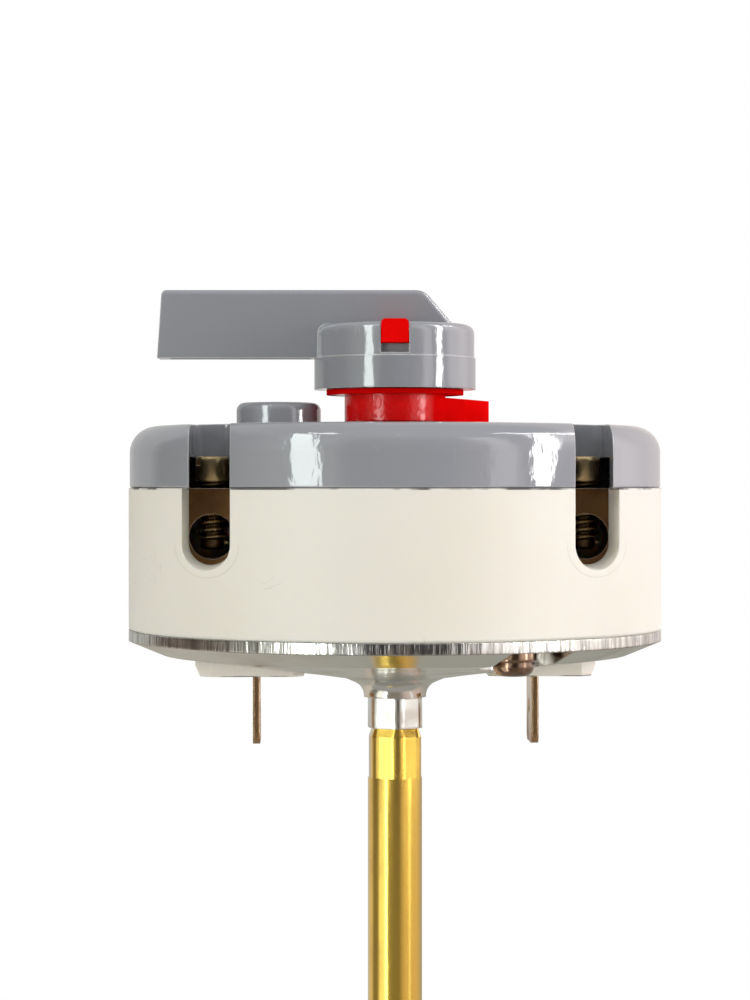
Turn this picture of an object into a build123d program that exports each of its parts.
from build123d import *
import os
from math import atan2, cos, degrees, radians, sin, tan

os.makedirs("parts", exist_ok=True)

# Rod thermostat, in millimetres. Z runs up the probe's axis, and Z = 0 is the top of the round tube.
# The wire slots face -Y. Heights that end in _low and _high are measured from Z = 0.

# Clearances
running_gap = 0.05      # radial room of what turns or slides in a bore
seat_gap = 0.05         # room of what is dropped or pushed into a slot
touch_gap = 0.05        # rest gap between pieces that touch in use
contact_gap = 0.02      # rest gap of the closed contacts

# Probe
tube_radius = 3.0
tube_wall = 0.5
tube_length = 265.0
tube_crimp_length = 5.5
tube_crimp_flats = 5.62
crimp_corner = 1.5
grip_corner = 0.8
tube_shoulder = 1.0
plug_head_edge = 0.9
pin_edge = 0.5
tube_in_neck = 4.6
plug_length = 6.0
plug_head = 1.2
rod_radius = 1.5
rod_seat_depth = 3.0
pin_radius = 1.2
pin_lift_room = 0.35

# Mounting plate with its drawn neck
plate_radius = 29.4
plate_thickness = 1.2
rim_low = 15.3
shoulder_width = 3.6
shoulder_low = 13.8
dish_radius = 9.0
dish_low = 11.55
crease_radius = 4.5
crease_low = 10.55
flare_radius = 4.2
flare_low = 10.4
neck_wall = 0.45
neck_length = 3.5
neck_flats = 5.8
neck_flat_length = 3.4
neck_chamfer = 0.35
crimp_turn = 6.0

# Rivets that hold the case on the plate
rivet_from_edge = 5.8
rivet_deg = -60.8
rivet_shank = 1.4
rivet_collar_radius = 2.4
rivet_collar = 1.2
rivet_dome_radius = 2.15
rivet_dome = 1.5
rivet_dome_edge = 1.0
rivet_head_radius = 2.3
rivet_head = 1.0
rivet_pad_radius = 3.8
rivet_pad_wall = 1.0

# Moulded case
case_height = 15.5
case_wall = 2.0
case_floor = 1.5
case_edge = 0.3
foot_inner_x = 9.6
foot_outer_x = 22.0
foot_width = 9.0
foot_low = 11.4
foot_bevel = 1.2
foot_bevel_run = 0.55
foot_corner = 1.7
window_gap = 0.2
window_corner = 0.8
guide_radius = 3.0
guide_height = 2.4

# Cover
cover_step = 0.12
cover_height = 7.15
cover_wall = 2.0
cover_roof = 1.8
cover_fillet = 2.9
cover_dome = 0.4
cover_edge = 0.2
lip_depth = 2.2
lip_wall = 1.3
lip_gap = 0.1
lug_width = 4.0
lug_reach = 0.5
lug_height = 0.8
lug_rise = 0.6
front_lip_deg = 25.0
rear_lip_deg = 95.0
lug_angles = (30.0, 150.0, -90.0)
collar_depth = 2.35
collar_wall = 1.9

# Wire entries, terminal blocks and screws
terminal_from_edge = 9.55
slot_shift = 0.1
slot_width = 4.6
slot_draft_deg = 5.0
slot_low = 23.9
tunnel_wall = 1.2
block_front = -13.0
block_depth = 5.0
block_width = 6.4
block_high = 32.0
block_edge = 0.3
wire_hole_radius = 2.4
wire_hole_z = 26.9
clamp_radius = 1.65
clamp_tip = 25.5
clamp_point = 0.6
clamp_head_radius = 1.85
clamp_head_low = 32.75
clamp_head = 2.65
clamp_slot_width = 0.7
clamp_slot_depth = 1.0
clamp_slot_deg = 35.0
clamp_head_edge = 0.45
notch_width = 4.35
notch_corner = 1.1
notch_back_room = 0.4
notch_wall = 1.0
notch_wall_low = 35.3

# Tabs
tab_x = 15.3
tab_width = 6.3
tab_thickness = 0.8
tab_tip = 3.9
tab_tip_chamfer = 1.1
tab_hole_radius = 0.85
tab_hole_rise = 4.0
bend_inner = 0.4

# Switch
contact_plane = 21.5
contact_thickness = 0.8
contact_radius = 2.0
strip_thickness = 0.8
leaf_thickness = 0.4
leaf_half_width = 3.0
carrier_back = -17.0
carrier_end = 3.2
carrier_rivet_y = -15.0
fork_half_width = 1.6
tongue_half_width = 1.2
tongue_tip = -1.2
fork_room = 0.5
arm_hinge_y = 3.4
arm_half_width = 2.6
arm_end = 15.0
contact_y = 12.5
arm_opening_deg = 3.5
stop_start = 13.2
stop_end = 20.0
stop_half_width = 2.0
stop_pillar_start = 16.6
snap_half_width = 0.8
snap_thickness = 0.2
snap_rise = 1.3
snap_start = -1.0
snap_end = 9.0
small_rivet = 1.0
small_rivet_head = 1.6
small_rivet_cap = 0.7
small_rivet_depth = 2.0

# Bridge and setting lever
bridge_thickness = 1.2
bridge_low = 29.6
bridge_half_width = 4.0
bridge_leg_x = 8.2
bridge_leg_half_width = 2.5
ear_half_width = 1.8
ear_low = 24.2
lever_gap = 0.1
screw_point_edge = 0.7
bead_edge = 1.0
lever_half_width = 2.9
lever_low = 25.0
lever_thickness = 1.5
eye_wall = 0.7
lever_nose = 2.6
lever_pivot_y = -8.0
pivot_radius = 0.9
bead_y = -3.0
bead_radius = 1.3
bead_room = 0.22

# Adjusting screw, bush and spindle
bush_radius = 3.0
bush_flange_radius = 4.0
bush_flange = 1.4
bush_rise = 1.6
screw_radius = 2.0
screw_point_radius = 1.2
screw_point = 1.05
screw_thread = 5.3
drive_square = 2.6
drive_length = 4.7
spindle_low = 33.2
spindle_stem_radius = 3.5
spindle_socket_room = 0.6
spindle_drum_radius = 5.6
spindle_flange_radius = 7.6
spindle_flange = 0.6
spindle_post_radius = 4.0
cover_to_drum = 0.2
clip_groove_radius = 2.9
clip_radius = 4.9
clip_thickness = 0.5
clip_mouth_deg = 70.0
stop_arm_reach = 15.2
stop_arm_tip = 1.8
stop_arm_height = 2.65
stop_arm_deg = 51.5

# Knob
knob_turn_deg = -2.0
knob_radius = 8.8
knob_low = 42.9
knob_height = 7.15
knob_step = 0.15
knob_step_height = 3.5
knob_edge = 1.0
knob_roof = 0.85
handle_reach = 26.2
handle_lean = 0.5
handle_low = 46.35
handle_high = 53.85
handle_thickness = 4.6
handle_wall = 1.3
handle_flat_end = 3.2
handle_bend = 2.0
handle_slope_end = 6.4
handle_edge = 0.6
handle_hub_gap = 0.5
key_slot_width = 3.1
key_slot_depth = 3.4
key_slot_foot = 1.0
key_height = 2.6
key_proud = 0.25
key_corner = 0.5

# Cut-out and its reset button
cutout_x = -12.9
boss_y = 2.0
boss_radius = 4.7
boss_height = 2.35
boss_edge = 0.9
button_radius = 2.85
button_inset = 0.15
button_edge = 0.55
button_head = 2.05
button_stem_radius = 1.3
button_travel = 1.2
shelf_low = 33.4
shelf_thickness = 1.2
barb_reach = 0.45
barb_height = 0.8
spring_wire = 0.2
spring_radius = 2.2
spring_turns = 4.0
cutout_lug_height = 1.7
cutout_lug_gap = 0.15
cutout_lug_room = 1.0
cutout_leaf = 0.3
cutout_half_width = 2.3
cutout_tongue_half_width = 1.3
cutout_tongue = 1.2
cutout_raise = 0.2
cutout_contact_radius = 1.5
cutout_contact_shift = 0.4
strip_rivet_shift = 0.7
disc_from_rivet = 8.6
disc_radius = 5.0
disc_thickness = 0.4
disc_rise = 0.5
retainer_wall = 1.1
retainer_height = 3.1
retainer_roof = 1.0
trip_pin_radius = 0.9
trip_travel = 0.9
blade_past_pin = 2.5

# Heights and places that follow from the sizes above
neck_low = tube_crimp_length
neck_high = neck_low + neck_length
neck_radius = tube_radius + neck_wall
tube_top = neck_low + tube_in_neck
rod_top = tube_top - tube_wall
shoulder_radius = plate_radius - shoulder_width
crease_rise = (crease_low + dish_low) / 2
rivet_circle = plate_radius - rivet_from_edge
rivet_x = rivet_circle * cos(radians(rivet_deg))
rivet_y = rivet_circle * sin(radians(rivet_deg))
case_radius = plate_radius
case_low = rim_low + plate_thickness
floor_high = case_low + case_floor
case_high = case_low + case_height
case_inside = case_radius - case_wall
cover_radius = case_radius - cover_step
cover_inside = cover_radius - cover_wall
cover_high = case_high + cover_height
roof_low = cover_high - cover_roof
leaf_low = contact_plane + contact_thickness
leaf_high = leaf_low + leaf_thickness
tab_strip_high = contact_plane - contact_thickness
tab_strip_low = tab_strip_high - strip_thickness
feed_strip_low = leaf_low - strip_thickness
terminal_x = plate_radius - terminal_from_edge
slot_x = terminal_x + slot_shift
terminal_y = block_front + block_depth / 2
block_back = block_front + block_depth
pivot_z = lever_low + lever_thickness / 2
lever_high = lever_low + lever_thickness
ear_inside = lever_half_width + lever_gap
screw_low = lever_high + touch_gap
drive_low = screw_low + screw_point + screw_thread
drive_high = drive_low + drive_length
collar_low = roof_low - collar_depth
drum_low = cover_high + cover_to_drum
flange_low = knob_low - spindle_flange
knob_high = knob_low + knob_height
clip_low = collar_low - running_gap - clip_thickness
pin_high = leaf_low - pin_lift_room
boss_high = cover_high + boss_height
button_high = boss_high - button_inset
shelf_high = shelf_low + shelf_thickness
head_low = button_high - button_head
disc_y = -rivet_y - disc_from_rivet
lug_front = block_back + cutout_lug_room
lug_back = lug_front + strip_thickness
cutout_hinge_y = (lug_front + lug_back) / 2
blade_low = leaf_low + cutout_raise
blade_high = blade_low + cutout_leaf
strip_rivet_x = cutout_x + strip_rivet_shift
strip_rivet_y = block_front + small_rivet_head + touch_gap
blade_rise = trip_travel * (boss_y + button_stem_radius - cutout_hinge_y) / (disc_y - cutout_hinge_y)
stem_low = blade_high + blade_rise + button_travel + 3 * touch_gap
stop_low = leaf_high + (arm_end - arm_hinge_y) * tan(radians(arm_opening_deg)) + 2 * touch_gap


def drum(radius, low, high, x=0.0, y=0.0):
    """An upright cylinder from one height to another."""
    return Pos(x, y, low) * Cylinder(radius, high - low, align=(Align.CENTER, Align.CENTER, Align.MIN))


def block(x_range, y_range, z_range):
    """A box between two values along each axis."""
    middle = [(low + high) / 2 for low, high in (x_range, y_range, z_range)]
    size = [abs(high - low) for low, high in (x_range, y_range, z_range)]
    return Pos(*middle) * Box(*size)


def turned(points, x=0.0, y=0.0):
    """A solid of revolution about an upright axis, from radius and height pairs."""
    profile = Plane.XZ * make_face(Polyline(*points, close=True))
    return Pos(x, y, 0) * revolve(profile, axis=Axis.Z)


def hexagon(flats, corner):
    """A hexagon of a width across its flats, with rounded corners, one of them near the front."""
    corner_to_front = 30
    outline = RegularPolygon(flats / 2, 6, major_radius=False, rotation=corner_to_front + crimp_turn)
    return fillet(outline.vertices(), corner)


def hexagon_bar(flats, corner, low, high):
    """An upright hexagonal bar."""
    return Pos(0, 0, low) * extrude(hexagon(flats, corner), high - low)


def horizontal_drum(radius, x_range, y, z):
    """A cylinder along X."""
    length = x_range[1] - x_range[0]
    middle = (x_range[0] + x_range[1]) / 2
    return Pos(middle, y, z) * Rot(0, 90, 0) * Cylinder(radius, length)


def pair(solid):
    """The solid and its mirror image across the YZ plane, as one shape."""
    return solid + mirror(solid, Plane.YZ)


def save(name, shape):
    """One STEP file for one piece."""
    shape.label = name
    export_step(shape, os.path.join("parts", name + ".step"))


# Probe


def tube_form(inset, low, high):
    """The tube's outside, or its bore where inset is the wall: round, crimped, tapered, then gripped."""
    crimp_high = tube_crimp_length - tube_shoulder
    crimped = (tube_crimp_flats - 2 * inset, crimp_corner - inset)
    gripped = (neck_flats - 2 * neck_wall - 2 * inset, grip_corner - inset)
    taper = loft([Pos(0, 0, crimp_high) * hexagon(*crimped), Pos(0, 0, neck_low) * hexagon(*gripped)])
    round_part = drum(tube_radius - inset, low, 0)
    return round_part + hexagon_bar(*crimped, 0, crimp_high) + taper + hexagon_bar(*gripped, neck_low, high)


def tube_outside():
    return tube_form(0, -tube_length, tube_top)


def make_probe_tube():
    return tube_outside() - tube_form(tube_wall, -tube_length - 1, tube_top + 1)


def make_tube_end_plug():
    low = -tube_length
    plug = drum(tube_radius - tube_wall, low, low + plug_length)
    seat = drum(rod_radius, low + plug_length - rod_seat_depth, low + plug_length + 1)
    head = drum(tube_radius, low - plug_head, low)
    head = fillet(head.edges().group_by(Axis.Z)[0], plug_head_edge)
    return plug + head - seat


def make_invar_rod():
    return drum(rod_radius, plug_length - tube_length - rod_seat_depth, rod_top)


def make_push_pin():
    pin = drum(pin_radius, rod_top, pin_high)
    return fillet(pin.edges().group_by(Axis.Z)[-1], pin_edge)


# Mounting plate


def plate_underside():
    """The outline of the underside, from the neck's foot out to the rim."""
    foot = Polyline(
        (0, neck_low),
        (neck_radius - neck_chamfer, neck_low),
        (neck_radius, neck_low + neck_chamfer),
        (neck_radius, neck_high),
    )
    flare = TangentArc((neck_radius, neck_high), (flare_radius, flare_low), tangent=(0, 1))
    dish = Polyline(
        (flare_radius, flare_low),
        (crease_radius, crease_low),
        (crease_radius + plate_thickness, crease_rise),
        (dish_radius, dish_low),
        (shoulder_radius, shoulder_low),
        (plate_radius, rim_low),
        (plate_radius, case_low),
    )
    return foot, flare, dish


def plate_body():
    """The filled form of the plate, up to the level of the rim's top."""
    foot, flare, dish = plate_underside()
    closing = Polyline((plate_radius, case_low), (0, case_low), (0, neck_low))
    return revolve(Plane.XZ * make_face(foot + flare + dish + closing), axis=Axis.Z)


def plate_hollow():
    """The space above the dish and inside the flare."""
    points = [
        (0, tube_top),
        (tube_radius, tube_top),
        (flare_radius - neck_wall, flare_low + neck_wall),
        (crease_radius + plate_thickness / 2, crease_low + plate_thickness),
        (crease_radius + plate_thickness, crease_rise + plate_thickness),
        (dish_radius, dish_low + plate_thickness),
        (shoulder_radius - plate_thickness / 2, shoulder_low + plate_thickness),
        (shoulder_radius + plate_thickness, case_low),
        (shoulder_radius + plate_thickness, case_low + 1),
        (0, case_low + 1),
    ]
    return turned(points)


def rivet_places():
    return [(rivet_x, rivet_y), (-rivet_x, -rivet_y)]


def rivet_pad(x, y):
    """The room under a rivet's level seat, open to the rim."""
    mouth = block((0, 2 * rivet_pad_radius), (-rivet_pad_radius, rivet_pad_radius), (0, rim_low))
    return drum(rivet_pad_radius, 0, rim_low, x, y) + Pos(x, y, 0) * Rot(0, 0, degrees(atan2(y, x))) * mouth


def make_mounting_plate():
    body = plate_body()
    plate = body - plate_hollow()
    for x, y in rivet_places():
        # The metal is set up in a shallow cup, so the rivet sits on a level seat
        cup_wall = drum(rivet_pad_radius + rivet_pad_wall, 0, case_low, x, y) & body
        plate = plate + cup_wall
        plate = plate - rivet_pad(x, y)
        plate = plate - drum(rivet_shank + seat_gap, 0, case_low + 1, x, y)
    window = block(
        (foot_inner_x - window_gap, foot_outer_x + window_gap),
        (-foot_width / 2 - window_gap, foot_width / 2 + window_gap),
        (0, case_low + 1),
    )
    plate = plate - pair(fillet(window.edges().filter_by(Axis.Z), window_corner))
    plate = plate - pair(bridge_leg(seat_gap, 0))
    grip_low = neck_low - 1
    flats = drum(dish_radius, grip_low, neck_low + neck_flat_length)
    flats = flats - hexagon_bar(neck_flats, grip_corner + neck_wall, grip_low, neck_low + neck_flat_length)
    return plate - flats - tube_outside()


def make_plate_rivet(x, y):
    """A tubular rivet: collar and dome below the plate, a flat head on the case floor."""
    collar_low = rim_low - rivet_collar
    dome_low = collar_low - rivet_dome
    collar = drum(rivet_collar_radius, collar_low, rim_low, x, y)
    collar = fillet(collar.edges().group_by(Axis.Z)[0], rivet_collar / 4)
    dome = drum(rivet_dome_radius, dome_low, collar_low, x, y)
    dome = fillet(dome.edges().group_by(Axis.Z)[0], rivet_dome_edge)
    shank = drum(rivet_shank, rim_low, floor_high, x, y)
    head = drum(rivet_head_radius, floor_high, floor_high + rivet_head, x, y)
    head = fillet(head.edges().group_by(Axis.Z)[-1], rivet_head / 2)
    return collar + dome + shank + head


# Case


def slot_outline(y, extra):
    """A wire slot's outline in an upright plane, round at its foot, grown outwards and down by extra."""
    inner = slot_x - slot_width / 2
    outer = slot_x + slot_width / 2 + extra
    radius = (outer - inner) / 2
    bottom = slot_low - extra / 2
    high = case_high + 1
    foot = ThreePointArc((inner, bottom + radius), (inner + radius, bottom), (outer, bottom + radius))
    walls = Polyline((outer, bottom + radius), (outer, high), (inner, high), (inner, bottom + radius))
    return Pos(0, y, 0) * (Plane.XZ * make_face(foot + walls))


def slot_form():
    """The upright space of the right wire slot, which widens outwards on its outer side."""
    front = -case_radius - 1
    draft = (block_front - front) * tan(radians(slot_draft_deg))
    return loft([slot_outline(block_front, 0), slot_outline(front, draft)])


def foot_form():
    """The right insulating foot, with cut corners in plan and bevelled at both lower ends."""
    half = foot_width / 2
    foot = block((foot_inner_x, foot_outer_x), (-half, half), (foot_low, floor_high))
    foot = chamfer(foot.edges().filter_by(Axis.Z), foot_corner)
    side_view = Polyline(
        (foot_inner_x, floor_high),
        (foot_inner_x, foot_low + foot_bevel),
        (foot_inner_x + foot_bevel_run, foot_low),
        (foot_outer_x - foot_bevel_run, foot_low),
        (foot_outer_x, foot_low + foot_bevel),
        (foot_outer_x, floor_high),
        close=True,
    )
    return foot & extrude(Plane.XZ * make_face(side_view), foot_width, both=True)


def make_case_body():
    outside = drum(case_radius, case_low, case_high)
    outside = fillet(outside.edges().group_by(Axis.Z)[0], case_edge)
    inside = drum(case_inside, floor_high, case_high + 1)
    case = outside - inside

    # Tunnels behind the wire slots and the pads under the terminal blocks
    tunnel_half = slot_width / 2 + tunnel_wall
    tunnel = block(
        (slot_x - tunnel_half, slot_x + tunnel_half),
        (-case_radius, block_front - seat_gap),
        (case_low, case_high),
    )
    case = case + pair(tunnel & drum(case_radius - case_wall / 2, case_low, case_high))
    pad_x = (terminal_x - block_width / 2, terminal_x + block_width / 2)
    case = case + pair(block(pad_x, (block_front - seat_gap, block_back), (case_low, feed_strip_low)))

    # Pillars that carry the strips, the contacts and the back stop
    case = case + block(
        (-leaf_half_width, leaf_half_width), (carrier_back, block_front), (case_low, feed_strip_low)
    )
    cutout_pad = (cutout_x - cutout_half_width, cutout_x + cutout_half_width)
    case = case + block(cutout_pad, (block_front, lug_back), (case_low, feed_strip_low))
    case = case + drum(contact_radius, case_low, tab_strip_low, 0, contact_y)
    flange_pad_x = cutout_x + cutout_contact_shift
    case = case + pair(drum(cutout_contact_radius, case_low, tab_strip_low, flange_pad_x, 0))
    case = case + block(
        (-stop_half_width, stop_half_width), (stop_pillar_start, stop_end), (case_low, stop_low)
    )

    # Insulating feet that carry the tabs through the windows in the plate
    case = case + pair(foot_form())
    case = case + drum(guide_radius, case_low, floor_high + guide_height)

    # Openings
    case = case - pair(slot_form())
    case = case - drum(pin_radius + running_gap, 0, case_high)
    for x, y in rivet_places():
        case = case - drum(rivet_shank + seat_gap, 0, floor_high, x, y)
    half_sheet = tab_thickness / 2 + seat_gap
    half_tab = tab_width / 2 + seat_gap
    tab_slot = block((tab_x - half_sheet, tab_x + half_sheet), (-half_tab, half_tab), (0, case_high))
    case = case - pair(tab_slot)
    case = case - pair(bridge_leg(seat_gap, 0))
    for place in lug_places():
        case = case - place * lug_form(lip_gap, lip_gap)
    hole_low = leaf_low - small_rivet_depth
    case = case - drum(small_rivet + seat_gap, hole_low, case_high, 0, carrier_rivet_y)
    return case - drum(small_rivet + seat_gap, hole_low, leaf_low, strip_rivet_x, strip_rivet_y)


# Cover


def lug_places():
    return [Rot(0, 0, angle) for angle in lug_angles]


def lug_form(extra, side):
    """A snap lug on the cover's lip, or the pocket that it springs into."""
    reach = case_inside + lug_reach + extra
    low = case_high - lip_depth + lug_rise - side
    high = case_high - lip_depth + lug_rise + lug_height + side
    half = lug_width / 2 + side
    return block((case_inside - lip_wall, reach), (-half, half), (low, high))


def sector(start_deg, end_deg, low, high):
    """A pie slice of the case's footprint between two angles."""
    reach = 2 * case_radius
    points = [(0, 0)]
    steps = 6
    for step in range(steps + 1):
        angle = radians(start_deg + (end_deg - start_deg) * step / steps)
        points.append((reach * cos(angle), reach * sin(angle)))
    return Pos(0, 0, low) * extrude(make_face(Polyline(*points, close=True)), high - low)


def cover_shell():
    """The cap with its slightly domed roof, rounded shoulder and upright skirt."""
    shoulder = cover_radius - cover_fillet
    edge_high = cover_high - cover_dome
    roof = ThreePointArc(
        (0, cover_high), (shoulder / 2, cover_high - cover_dome / 4), (shoulder, edge_high)
    )
    bend = RadiusArc((shoulder, edge_high), (cover_radius, edge_high - cover_fillet), cover_fillet)
    rest = Polyline(
        (cover_radius, edge_high - cover_fillet),
        (cover_radius, case_high + cover_edge),
        (cover_radius - cover_edge, case_high),
        (cover_inside, case_high),
        (cover_inside, roof_low - cover_dome),
        (0, roof_low),
        (0, cover_high),
    )
    return revolve(Plane.XZ * make_face(roof + bend + rest), axis=Axis.Z)


def make_case_cover():
    cover = cover_shell()

    # The lip that drops into the case, left out beside the terminals
    lip_low = case_high - lip_depth
    lip_radius = case_inside - lip_gap
    lip = drum(lip_radius, lip_low, case_high + 1) - drum(lip_radius - lip_wall, lip_low - 1, case_high + 2)
    rear = sector(90 - rear_lip_deg, 90 + rear_lip_deg, lip_low, case_high + 1)
    front = sector(-90 - front_lip_deg, -90 + front_lip_deg, lip_low, case_high + 1)
    cover = cover + (lip & (rear + front))
    for place in lug_places():
        cover = cover + place * lug_form(-lip_gap, 0)

    # The screwdriver notches, with walls that hang round them
    half_notch = notch_width / 2
    notch_back = terminal_y + clamp_head_radius + notch_back_room
    walls = block(
        (terminal_x - half_notch - notch_wall, terminal_x + half_notch + notch_wall),
        (-case_radius, notch_back + notch_wall),
        (notch_wall_low, roof_low),
    )
    room = drum(cover_radius - cover_wall / 2, case_high, cover_high - cover_roof / 2)
    cover = cover + pair(walls & room)
    notch = block(
        (terminal_x - half_notch, terminal_x + half_notch),
        (-case_radius - 1, notch_back),
        (case_high - lip_depth - 1, cover_high + 1),
    )
    cover = cover - pair(fillet(notch.edges().filter_by(Axis.Z).group_by(Axis.Y)[-1], notch_corner))

    # The collar that carries the spindle
    bore = spindle_stem_radius + running_gap
    cover = cover + drum(bore + collar_wall, collar_low, roof_low)
    cover = cover - drum(bore, collar_low - 1, cover_high + 1)

    # The boss that stops the arm and guards the reset button
    boss = drum(boss_radius, roof_low, boss_high, cutout_x, boss_y)
    boss = fillet(boss.edges().group_by(Axis.Z)[-1], boss_edge)
    well = button_radius + running_gap
    boss = boss + drum(well + collar_wall / 2, shelf_low, roof_low, cutout_x, boss_y)
    cover = cover + boss
    cover = cover - drum(well, shelf_high, boss_high + 1, cutout_x, boss_y)
    return cover - drum(button_stem_radius + running_gap, shelf_low - 1, boss_high, cutout_x, boss_y)


# Terminals and tabs


def make_terminal_block(side):
    body = block(
        (terminal_x - block_width / 2, terminal_x + block_width / 2),
        (block_front, block_back),
        (leaf_low, block_high),
    )
    body = chamfer(body.edges().filter_by(Axis.Z), block_edge)
    wire_hole = Pos(terminal_x, terminal_y, wire_hole_z) * Rot(90, 0, 0)
    body = body - wire_hole * Cylinder(wire_hole_radius, block_depth + 1)
    body = body - drum(clamp_radius + running_gap, wire_hole_z, block_high + 1, terminal_x, terminal_y)
    return placed_on(side, body)


def make_terminal_screw(side):
    shank = drum(clamp_radius, clamp_tip, clamp_head_low, terminal_x, terminal_y)
    shank = chamfer(shank.edges().group_by(Axis.Z)[0], clamp_point)
    head_high = clamp_head_low + clamp_head
    head = drum(clamp_head_radius, clamp_head_low, head_high, terminal_x, terminal_y)
    head = fillet(head.edges().group_by(Axis.Z)[-1], clamp_head_edge)
    slot = Pos(terminal_x, terminal_y, head_high) * Rot(0, 0, clamp_slot_deg)
    slot = slot * Box(3 * clamp_head_radius, clamp_slot_width, 2 * clamp_slot_depth)
    return placed_on(side, shank + head - slot)


def placed_on(side, shape):
    """The shape on the right, where side is 1, or its mirror image on the left."""
    if side > 0:
        return shape
    return mirror(shape, Plane.YZ)


def tab_blade(flange_reach):
    """A tab with its rounded tip, bent inwards into a flange at the strip's level."""
    outer = tab_x + tab_thickness / 2
    inner = tab_x - tab_thickness / 2
    bend_outer = bend_inner + tab_thickness
    profile = Plane.XZ * make_face(
        Polyline(
            (outer, tab_tip),
            (outer, tab_strip_high),
            (flange_reach, tab_strip_high),
            (flange_reach, tab_strip_low),
            (inner, tab_strip_low),
            (inner, tab_tip),
            close=True,
        )
    )
    sheet = extrude(profile, tab_width / 2, both=True)
    upright = sheet.edges().filter_by(Axis.Y)
    outer_edge = upright.sort_by_distance((outer, 0, tab_strip_high))[0]
    sheet = fillet(outer_edge, bend_outer)
    inner_edge = sheet.edges().filter_by(Axis.Y).sort_by_distance((inner, 0, tab_strip_low))[0]
    sheet = fillet(inner_edge, bend_inner)
    tip_corners = sheet.edges().filter_by(Axis.X).group_by(Axis.Z)[0]
    sheet = fillet(tip_corners, tab_tip_chamfer)
    hole = horizontal_drum(tab_hole_radius, (inner - 1, outer + 1), 0, tab_tip + tab_hole_rise)
    return sheet - hole


def make_tab_left():
    reach = -cutout_x - cutout_half_width
    return mirror(tab_blade(reach), Plane.YZ)


def make_tab_right():
    """The right tab, whose flange runs round behind the bridge to the fixed contact."""
    leg_clear = bridge_leg_x + bridge_thickness
    flat_end = tab_x - tab_thickness / 2 - bend_inner - seat_gap
    level = (tab_strip_low, tab_strip_high)
    far = contact_y + leaf_half_width
    side = block((leg_clear, flat_end), (-tab_width / 2, far), level)
    back = block((-leaf_half_width, flat_end), (contact_y - leaf_half_width, far), level)
    return tab_blade(leg_clear) + side + back


def make_terminal_strip_right():
    """The strip from the right terminal block to the foot of the leaf."""
    level = (feed_strip_low, leaf_low)
    run = block((-leaf_half_width, terminal_x + block_width / 2), (block_front, block_back - 1), level)
    foot = block((-leaf_half_width, leaf_half_width), (carrier_back, block_back - 1), level)
    return run + foot - small_rivet_hole(0, carrier_rivet_y)


def make_terminal_strip_left():
    """The strip from the left terminal block, with the slotted lug that the cut-out blade rocks in."""
    start = -terminal_x - block_width / 2
    end = cutout_x + cutout_half_width
    lug_start = cutout_x - cutout_half_width
    level = (feed_strip_low, leaf_low)
    strip = block((start, end), (block_front, block_back), level)
    strip = strip + block((lug_start, end), (block_back - 1, lug_back), level)
    lug = block((lug_start, end), (lug_front, lug_back), (leaf_low, leaf_low + cutout_lug_height))
    half = cutout_tongue_half_width + cutout_lug_gap
    window = block(
        (cutout_x - half, cutout_x + half),
        (lug_front - 1, lug_back + 1),
        (blade_low - cutout_lug_gap, blade_high + cutout_lug_gap),
    )
    return strip + lug - window - small_rivet_hole(strip_rivet_x, strip_rivet_y)


def small_rivet_hole(x, y):
    return drum(small_rivet, feed_strip_low - 1, case_high, x, y)


def make_small_rivet(x, y, top):
    """A rivet through a leaf and its strip into the case."""
    shank = drum(small_rivet, leaf_low - small_rivet_depth, top, x, y)
    head = drum(small_rivet_head, top, top + small_rivet_cap, x, y)
    head = fillet(head.edges().group_by(Axis.Z)[-1], small_rivet_cap / 2)
    return shank + head


# Switch


def make_blade_carrier():
    leaf = block((-leaf_half_width, leaf_half_width), (carrier_back, carrier_end), (leaf_low, leaf_high))
    fork = block(
        (-fork_half_width, fork_half_width),
        (tongue_tip - fork_room, carrier_end + 1),
        (leaf_low - 1, leaf_high + 1),
    )
    return leaf - fork - small_rivet_hole(0, carrier_rivet_y)


def make_contact_arm():
    arm_start = 2 * arm_hinge_y - carrier_end
    arm = block((-arm_half_width, arm_half_width), (arm_start, arm_end), (leaf_low, leaf_high))
    arm = fillet(arm.edges().filter_by(Axis.Z).group_by(Axis.Y)[-1], arm_half_width / 2)
    tongue = block(
        (-tongue_half_width, tongue_half_width), (tongue_tip, arm_start + 1), (leaf_low, leaf_high)
    )
    return arm + tongue


def make_snap_spring():
    """The bowed strip that throws the arm over."""
    start = (snap_start, leaf_high)
    middle = ((snap_start + snap_end) / 2, leaf_high + snap_rise)
    end = (snap_end, leaf_high)
    bow = ThreePointArc(start, middle, end)
    lid = ThreePointArc(
        (end[0], end[1] + snap_thickness),
        (middle[0], middle[1] + snap_thickness),
        (start[0], start[1] + snap_thickness),
    )
    sides = Line(end, (end[0], end[1] + snap_thickness)) + Line(
        (start[0], start[1] + snap_thickness), start
    )
    profile = Plane.YZ * make_face(bow + lid + sides)
    return extrude(profile, snap_half_width, both=True)


def make_back_stop():
    finger = block(
        (-stop_half_width, stop_half_width),
        (stop_start, stop_end),
        (stop_low, stop_low + strip_thickness),
    )
    return fillet(finger.edges().filter_by(Axis.Z), stop_half_width / 3)


# Bridge and setting lever


def bridge_leg(gap, low):
    """The lower end of the bridge's right leg, grown by a gap for the slots that it is staked in."""
    inner = bridge_leg_x - bridge_thickness
    half = bridge_leg_half_width
    return block(
        (inner - gap, bridge_leg_x + gap), (-half - gap, half + gap), (low, floor_high + gap)
    )


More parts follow.
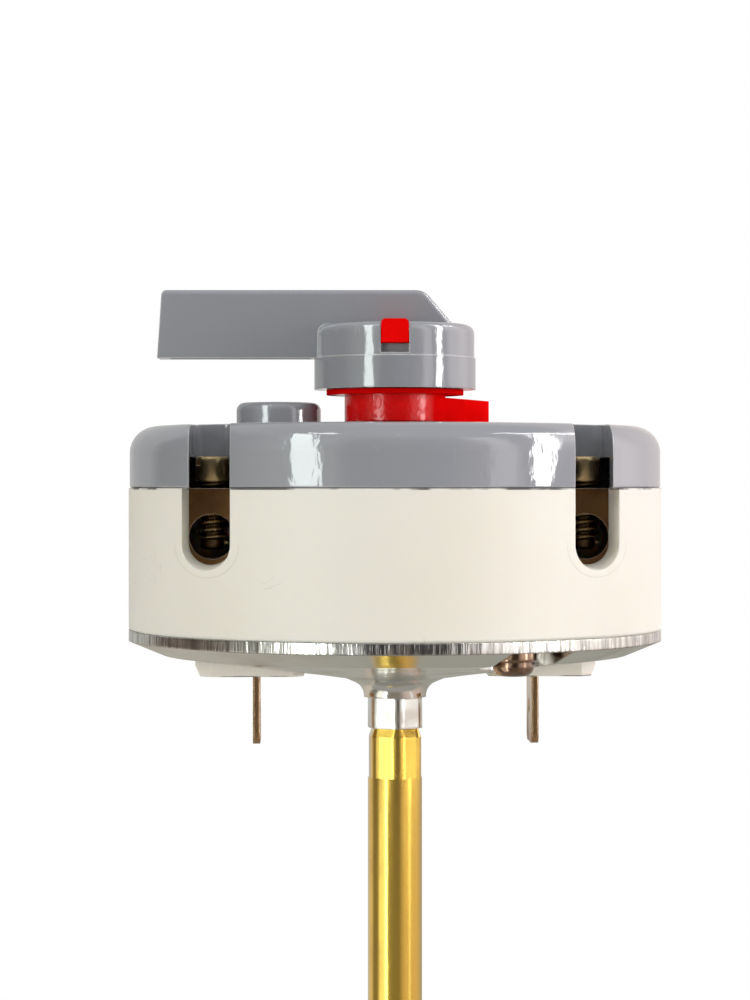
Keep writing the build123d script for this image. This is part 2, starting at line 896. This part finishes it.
def make_bridge():
    bridge_high = bridge_low + bridge_thickness
    half = bridge_half_width
    strap = block((-bridge_leg_x, bridge_leg_x), (-half, half), (floor_high, bridge_high))
    opening = block(
        (bridge_thickness - bridge_leg_x, bridge_leg_x - bridge_thickness),
        (-half - 1, half + 1),
        (floor_high - 1, bridge_low),
    )
    strap = strap - opening
    strap = fillet(strap.edges().filter_by(Axis.Y).group_by(Axis.Z)[-1], bridge_thickness)
    ear_outside = ear_inside + bridge_thickness
    front = lever_pivot_y - ear_half_width
    tongue = block((-ear_outside, ear_outside), (front, -half + 1), (bridge_low, bridge_high))
    ear = block((ear_inside, ear_outside), (front, front + 2 * ear_half_width), (ear_low, bridge_low))
    bridge = strap + tongue + pair(ear) + pair(bridge_leg(0, dish_low + touch_gap))
    pin_reach = ear_outside + 1
    bridge = bridge - horizontal_drum(pivot_radius, (-pin_reach, pin_reach), lever_pivot_y, pivot_z)
    return bridge - drum(bush_radius, bridge_low - 1, bridge_high + 1)


def make_bridge_bush():
    flange_low = bridge_low - bush_flange
    bush = drum(bush_flange_radius, flange_low, bridge_low)
    bush = chamfer(bush.edges().group_by(Axis.Z)[0], bush_flange / 4)
    bush = bush + drum(bush_radius, bridge_low, bridge_low + bridge_thickness + bush_rise)
    return bush - drum(screw_radius + running_gap, flange_low - 1, cover_high)


def make_lever_pivot_pin():
    end = ear_inside + bridge_thickness
    return horizontal_drum(pivot_radius, (-end, end), lever_pivot_y, pivot_z)


def make_setting_lever():
    level = (lever_low, lever_high)
    lever = block((-lever_half_width, lever_half_width), (lever_pivot_y, lever_nose), level)
    lever = fillet(lever.edges().filter_by(Axis.Z).group_by(Axis.Y)[-1], lever_half_width / 2)
    bore_radius = pivot_radius + running_gap
    across = (-lever_half_width, lever_half_width)
    lever = lever + horizontal_drum(bore_radius + eye_wall, across, lever_pivot_y, pivot_z)
    reach = lever_half_width + 1
    bore = horizontal_drum(bore_radius, (-reach, reach), lever_pivot_y, pivot_z)
    return lever - bore - drum(bead_radius / 2, lever_low - 1, lever_high + 1, 0, bead_y)


def make_lever_bead():
    """The insulating bead that presses the leaf, with its stem up through the lever."""
    low = leaf_high + bead_room
    bead = drum(bead_radius, low, lever_low, 0, bead_y)
    bead = fillet(bead.edges().group_by(Axis.Z)[0], bead_edge)
    return bead + drum(bead_radius / 2, lever_low, lever_high, 0, bead_y)


# Adjusting screw, spindle and knob


def make_adjusting_screw():
    point = drum(screw_point_radius, screw_low, screw_low + screw_point)
    point = fillet(point.edges().group_by(Axis.Z)[0], screw_point_edge)
    thread = drum(screw_radius, screw_low + screw_point, drive_low)
    half = drive_square / 2
    drive = block((-half, half), (-half, half), (drive_low, drive_high))
    return point + thread + drive


def stop_arm():
    """The arm beside the drum: two circles joined by their tangents."""
    tip_x = stop_arm_reach * cos(radians(stop_arm_deg))
    tip_y = stop_arm_reach * sin(radians(stop_arm_deg))
    slope = (spindle_drum_radius - stop_arm_tip) / stop_arm_reach
    reach = (1 - slope**2) ** 0.5
    corners = []
    for x, y, radius in ((0, 0, spindle_drum_radius), (tip_x, tip_y, stop_arm_tip)):
        for turn in (1, -1):
            along_x = cos(radians(stop_arm_deg))
            along_y = sin(radians(stop_arm_deg))
            corner_x = x + radius * (slope * along_x - turn * reach * along_y)
            corner_y = y + radius * (slope * along_y + turn * reach * along_x)
            corners.append((corner_x, corner_y))
    web = make_face(Polyline(corners[0], corners[1], corners[3], corners[2], close=True))
    high = drum_low + stop_arm_height
    arm = Pos(0, 0, drum_low) * extrude(web, stop_arm_height)
    return arm + drum(stop_arm_tip, drum_low, high, tip_x, tip_y)


def make_adjusting_spindle():
    spindle = drum(spindle_stem_radius, spindle_low, drum_low)
    spindle = spindle + drum(spindle_drum_radius, drum_low, flange_low) + stop_arm()
    spindle = spindle + drum(spindle_flange_radius, flange_low, knob_low - touch_gap)
    spindle = spindle + drum(spindle_post_radius, knob_low - 1, knob_high - knob_roof - touch_gap)

    # The key that shows in the knob's notch and turns with it
    key_high = knob_high + key_proud
    half = key_slot_width / 2 - seat_gap
    fin_half = handle_thickness / 2 + seat_gap
    key = block((-half, half), (-knob_radius + 2 * seat_gap, -fin_half), (key_high - key_height, key_high))
    key = fillet(key.edges().filter_by(Axis.Y).group_by(Axis.Z)[-1], key_corner)
    root = block(
        (-half, half), (-fin_half - 1, 0), (key_high - key_height, knob_high - knob_roof - touch_gap)
    )
    spindle = spindle + Rot(0, 0, knob_turn_deg) * (key + root)

    # The square socket for the screw and the groove for the clip
    half_socket = drive_square / 2 + running_gap
    socket_high = drive_high + spindle_socket_room
    socket = block((-half_socket, half_socket), (-half_socket, half_socket), (spindle_low - 1, socket_high))
    groove = drum(spindle_stem_radius + 1, clip_low - seat_gap, clip_low + clip_thickness + seat_gap)
    groove = groove - drum(clip_groove_radius, clip_low - 1, clip_low + clip_thickness + 1)
    return spindle - socket - groove


def make_spindle_clip():
    """The open ring that keeps the spindle in the cover."""
    clip = drum(clip_radius, clip_low, clip_low + clip_thickness)
    clip = clip - drum(clip_groove_radius, clip_low - 1, clip_low + clip_thickness + 1)
    half = clip_mouth_deg / 2
    return clip - sector(90 - half, 90 + half, clip_low - 1, clip_low + clip_thickness + 1)


def handle_profile(inset):
    """The handle's outline from the side, drawn in X and Z."""
    points = [
        (-handle_reach + inset, handle_low),
        (-handle_reach + handle_lean + inset, handle_high - inset),
        (handle_flat_end - inset / 2, handle_high - inset),
        (handle_slope_end - inset, knob_high - inset / 2),
        (handle_slope_end - inset, handle_low),
    ]
    outline = make_face(Polyline(*points, close=True))
    bend = outline.vertices().sort_by_distance((*points[2], 0))[0]
    return Plane.XZ * fillet(bend, handle_bend)


def make_control_knob():
    hub = drum(knob_radius, knob_low, knob_high)
    hub = fillet(hub.edges().group_by(Axis.Z)[-1], knob_edge)
    hub = hub + drum(knob_radius + knob_step, knob_low, knob_low + knob_step_height)

    # The hollow handle, open below, that crosses the hub
    handle = extrude(handle_profile(0), handle_thickness / 2, both=True)
    handle = fillet(handle.edges().group_by(Axis.Z)[-1].sort_by(Axis.X)[:-1], handle_edge)
    hollow = extrude(handle_profile(handle_wall), handle_thickness / 2 - handle_wall, both=True)
    hollow = hollow & block(
        (-handle_reach, -knob_radius - handle_hub_gap), (-knob_radius, knob_radius), (0, handle_high)
    )
    knob = hub + handle - hollow

    # The socket for the spindle's post and the notch for its key
    knob = knob - drum(spindle_post_radius + seat_gap, knob_low - 1, knob_high - knob_roof)
    half = key_slot_width / 2
    fin_half = handle_thickness / 2
    deep_low = knob_high + key_proud - key_height - seat_gap
    notch = block((-half, half), (-knob_radius - 1, -fin_half), (deep_low, handle_high))
    foot_back = key_slot_foot - knob_radius
    foot = block((-half, half), (-knob_radius - 1, foot_back), (knob_high - key_slot_depth, handle_high))
    under = block((-half, half), (-fin_half - 1, 0), (deep_low, knob_high - knob_roof))
    return Rot(0, 0, knob_turn_deg) * (knob - notch - foot - under)


# Cut-out and reset button


def make_cutout_blade():
    """The blade, whose narrow tongue reaches through the lug's slot."""
    start = lug_back + touch_gap
    end = disc_y + blade_past_pin
    half = cutout_half_width
    blade = block((cutout_x - half, cutout_x + half), (start, end), (blade_low, blade_high))
    blade = fillet(blade.edges().filter_by(Axis.Z).group_by(Axis.Y)[-1], half / 2)
    half = cutout_tongue_half_width
    tongue_start = lug_front - cutout_tongue / 2
    tongue = block((cutout_x - half, cutout_x + half), (tongue_start, start + 1), (blade_low, blade_high))
    return blade + tongue


def make_bimetal_disc():
    """The dished disc, between two spherical faces of one radius."""
    low = floor_high + touch_gap
    high = low + disc_rise + disc_thickness
    bow_radius = (disc_radius**2 + disc_rise**2) / (2 * disc_rise)
    over = Pos(cutout_x, disc_y, high - bow_radius) * Sphere(bow_radius)
    under = Pos(cutout_x, disc_y, high - disc_thickness - bow_radius) * Sphere(bow_radius)
    return (drum(disc_radius, low, high, cutout_x, disc_y) & over) - under


def make_disc_retainer():
    inside = disc_radius + seat_gap
    high = floor_high + retainer_height
    cap = drum(inside + retainer_wall, floor_high, high, cutout_x, disc_y)
    cap = fillet(cap.edges().group_by(Axis.Z)[-1], retainer_roof / 2)
    cap = cap - drum(inside, floor_high - 1, high - retainer_roof, cutout_x, disc_y)
    return cap - drum(trip_pin_radius + running_gap, floor_high, high + 1, cutout_x, disc_y)


def make_cutout_pin():
    low = floor_high + disc_rise + disc_thickness + 2 * touch_gap
    return drum(trip_pin_radius, low, blade_low - 2 * touch_gap, cutout_x, disc_y)


def make_reset_button():
    head = drum(button_radius, head_low, button_high, cutout_x, boss_y)
    head = fillet(head.edges().group_by(Axis.Z)[-1], button_edge)
    stem = drum(button_stem_radius, stem_low, head_low, cutout_x, boss_y)
    barb_high = shelf_low - touch_gap
    barb = Pos(cutout_x, boss_y, barb_high - barb_height) * Cone(
        button_stem_radius,
        button_stem_radius + barb_reach,
        barb_height,
        align=(Align.CENTER, Align.CENTER, Align.MIN),
    )
    return head + stem + barb


def make_reset_spring():
    low = shelf_high + spring_wire + touch_gap
    rise = head_low - shelf_high - 2 * spring_wire - 2 * touch_gap
    path = Helix(rise / spring_turns, rise, spring_radius)
    section = Plane(path @ 0, z_dir=path % 0) * Circle(spring_wire)
    coil = sweep(section, path=path)
    return Pos(cutout_x, boss_y, low) * coil


def main():
    moving_low = contact_plane + contact_gap
    cutout_contact_x = cutout_x + cutout_contact_shift
    pieces = {
        "probe_tube": make_probe_tube(),
        "tube_end_plug": make_tube_end_plug(),
        "invar_rod": make_invar_rod(),
        "push_pin": make_push_pin(),
        "mounting_plate": make_mounting_plate(),
        "plate_rivet_front": make_plate_rivet(*rivet_places()[0]),
        "plate_rivet_back": make_plate_rivet(*rivet_places()[1]),
        "case_body": make_case_body(),
        "case_cover": make_case_cover(),
        "terminal_block_left": make_terminal_block(-1),
        "terminal_block_right": make_terminal_block(1),
        "terminal_screw_left": make_terminal_screw(-1),
        "terminal_screw_right": make_terminal_screw(1),
        "terminal_strip_left": make_terminal_strip_left(),
        "terminal_strip_right": make_terminal_strip_right(),
        "tab_left": make_tab_left(),
        "tab_right": make_tab_right(),
        "blade_carrier": make_blade_carrier(),
        "carrier_rivet": make_small_rivet(0, carrier_rivet_y, leaf_high),
        "contact_arm": make_contact_arm(),
        "snap_spring": make_snap_spring(),
        "moving_contact": drum(contact_radius, moving_low, leaf_low, 0, contact_y),
        "fixed_contact": drum(contact_radius, tab_strip_high, contact_plane, 0, contact_y),
        "back_stop": make_back_stop(),
        "bridge": make_bridge(),
        "bridge_bush": make_bridge_bush(),
        "lever_pivot_pin": make_lever_pivot_pin(),
        "setting_lever": make_setting_lever(),
        "lever_bead": make_lever_bead(),
        "adjusting_screw": make_adjusting_screw(),
        "adjusting_spindle": make_adjusting_spindle(),
        "spindle_clip": make_spindle_clip(),
        "control_knob": make_control_knob(),
        "cutout_blade": make_cutout_blade(),
        "strip_rivet": make_small_rivet(strip_rivet_x, strip_rivet_y, leaf_low),
        "cutout_moving_contact": drum(cutout_contact_radius, moving_low, blade_low, cutout_contact_x),
        "cutout_fixed_contact": drum(
            cutout_contact_radius, tab_strip_high, contact_plane, cutout_contact_x
        ),
        "bimetal_disc": make_bimetal_disc(),
        "disc_retainer": make_disc_retainer(),
        "cutout_pin": make_cutout_pin(),
        "reset_button": make_reset_button(),
        "reset_spring": make_reset_spring(),
    }
    for name, shape in pieces.items():
        save(name, shape)
        print(name, round(shape.volume, 2))


main()
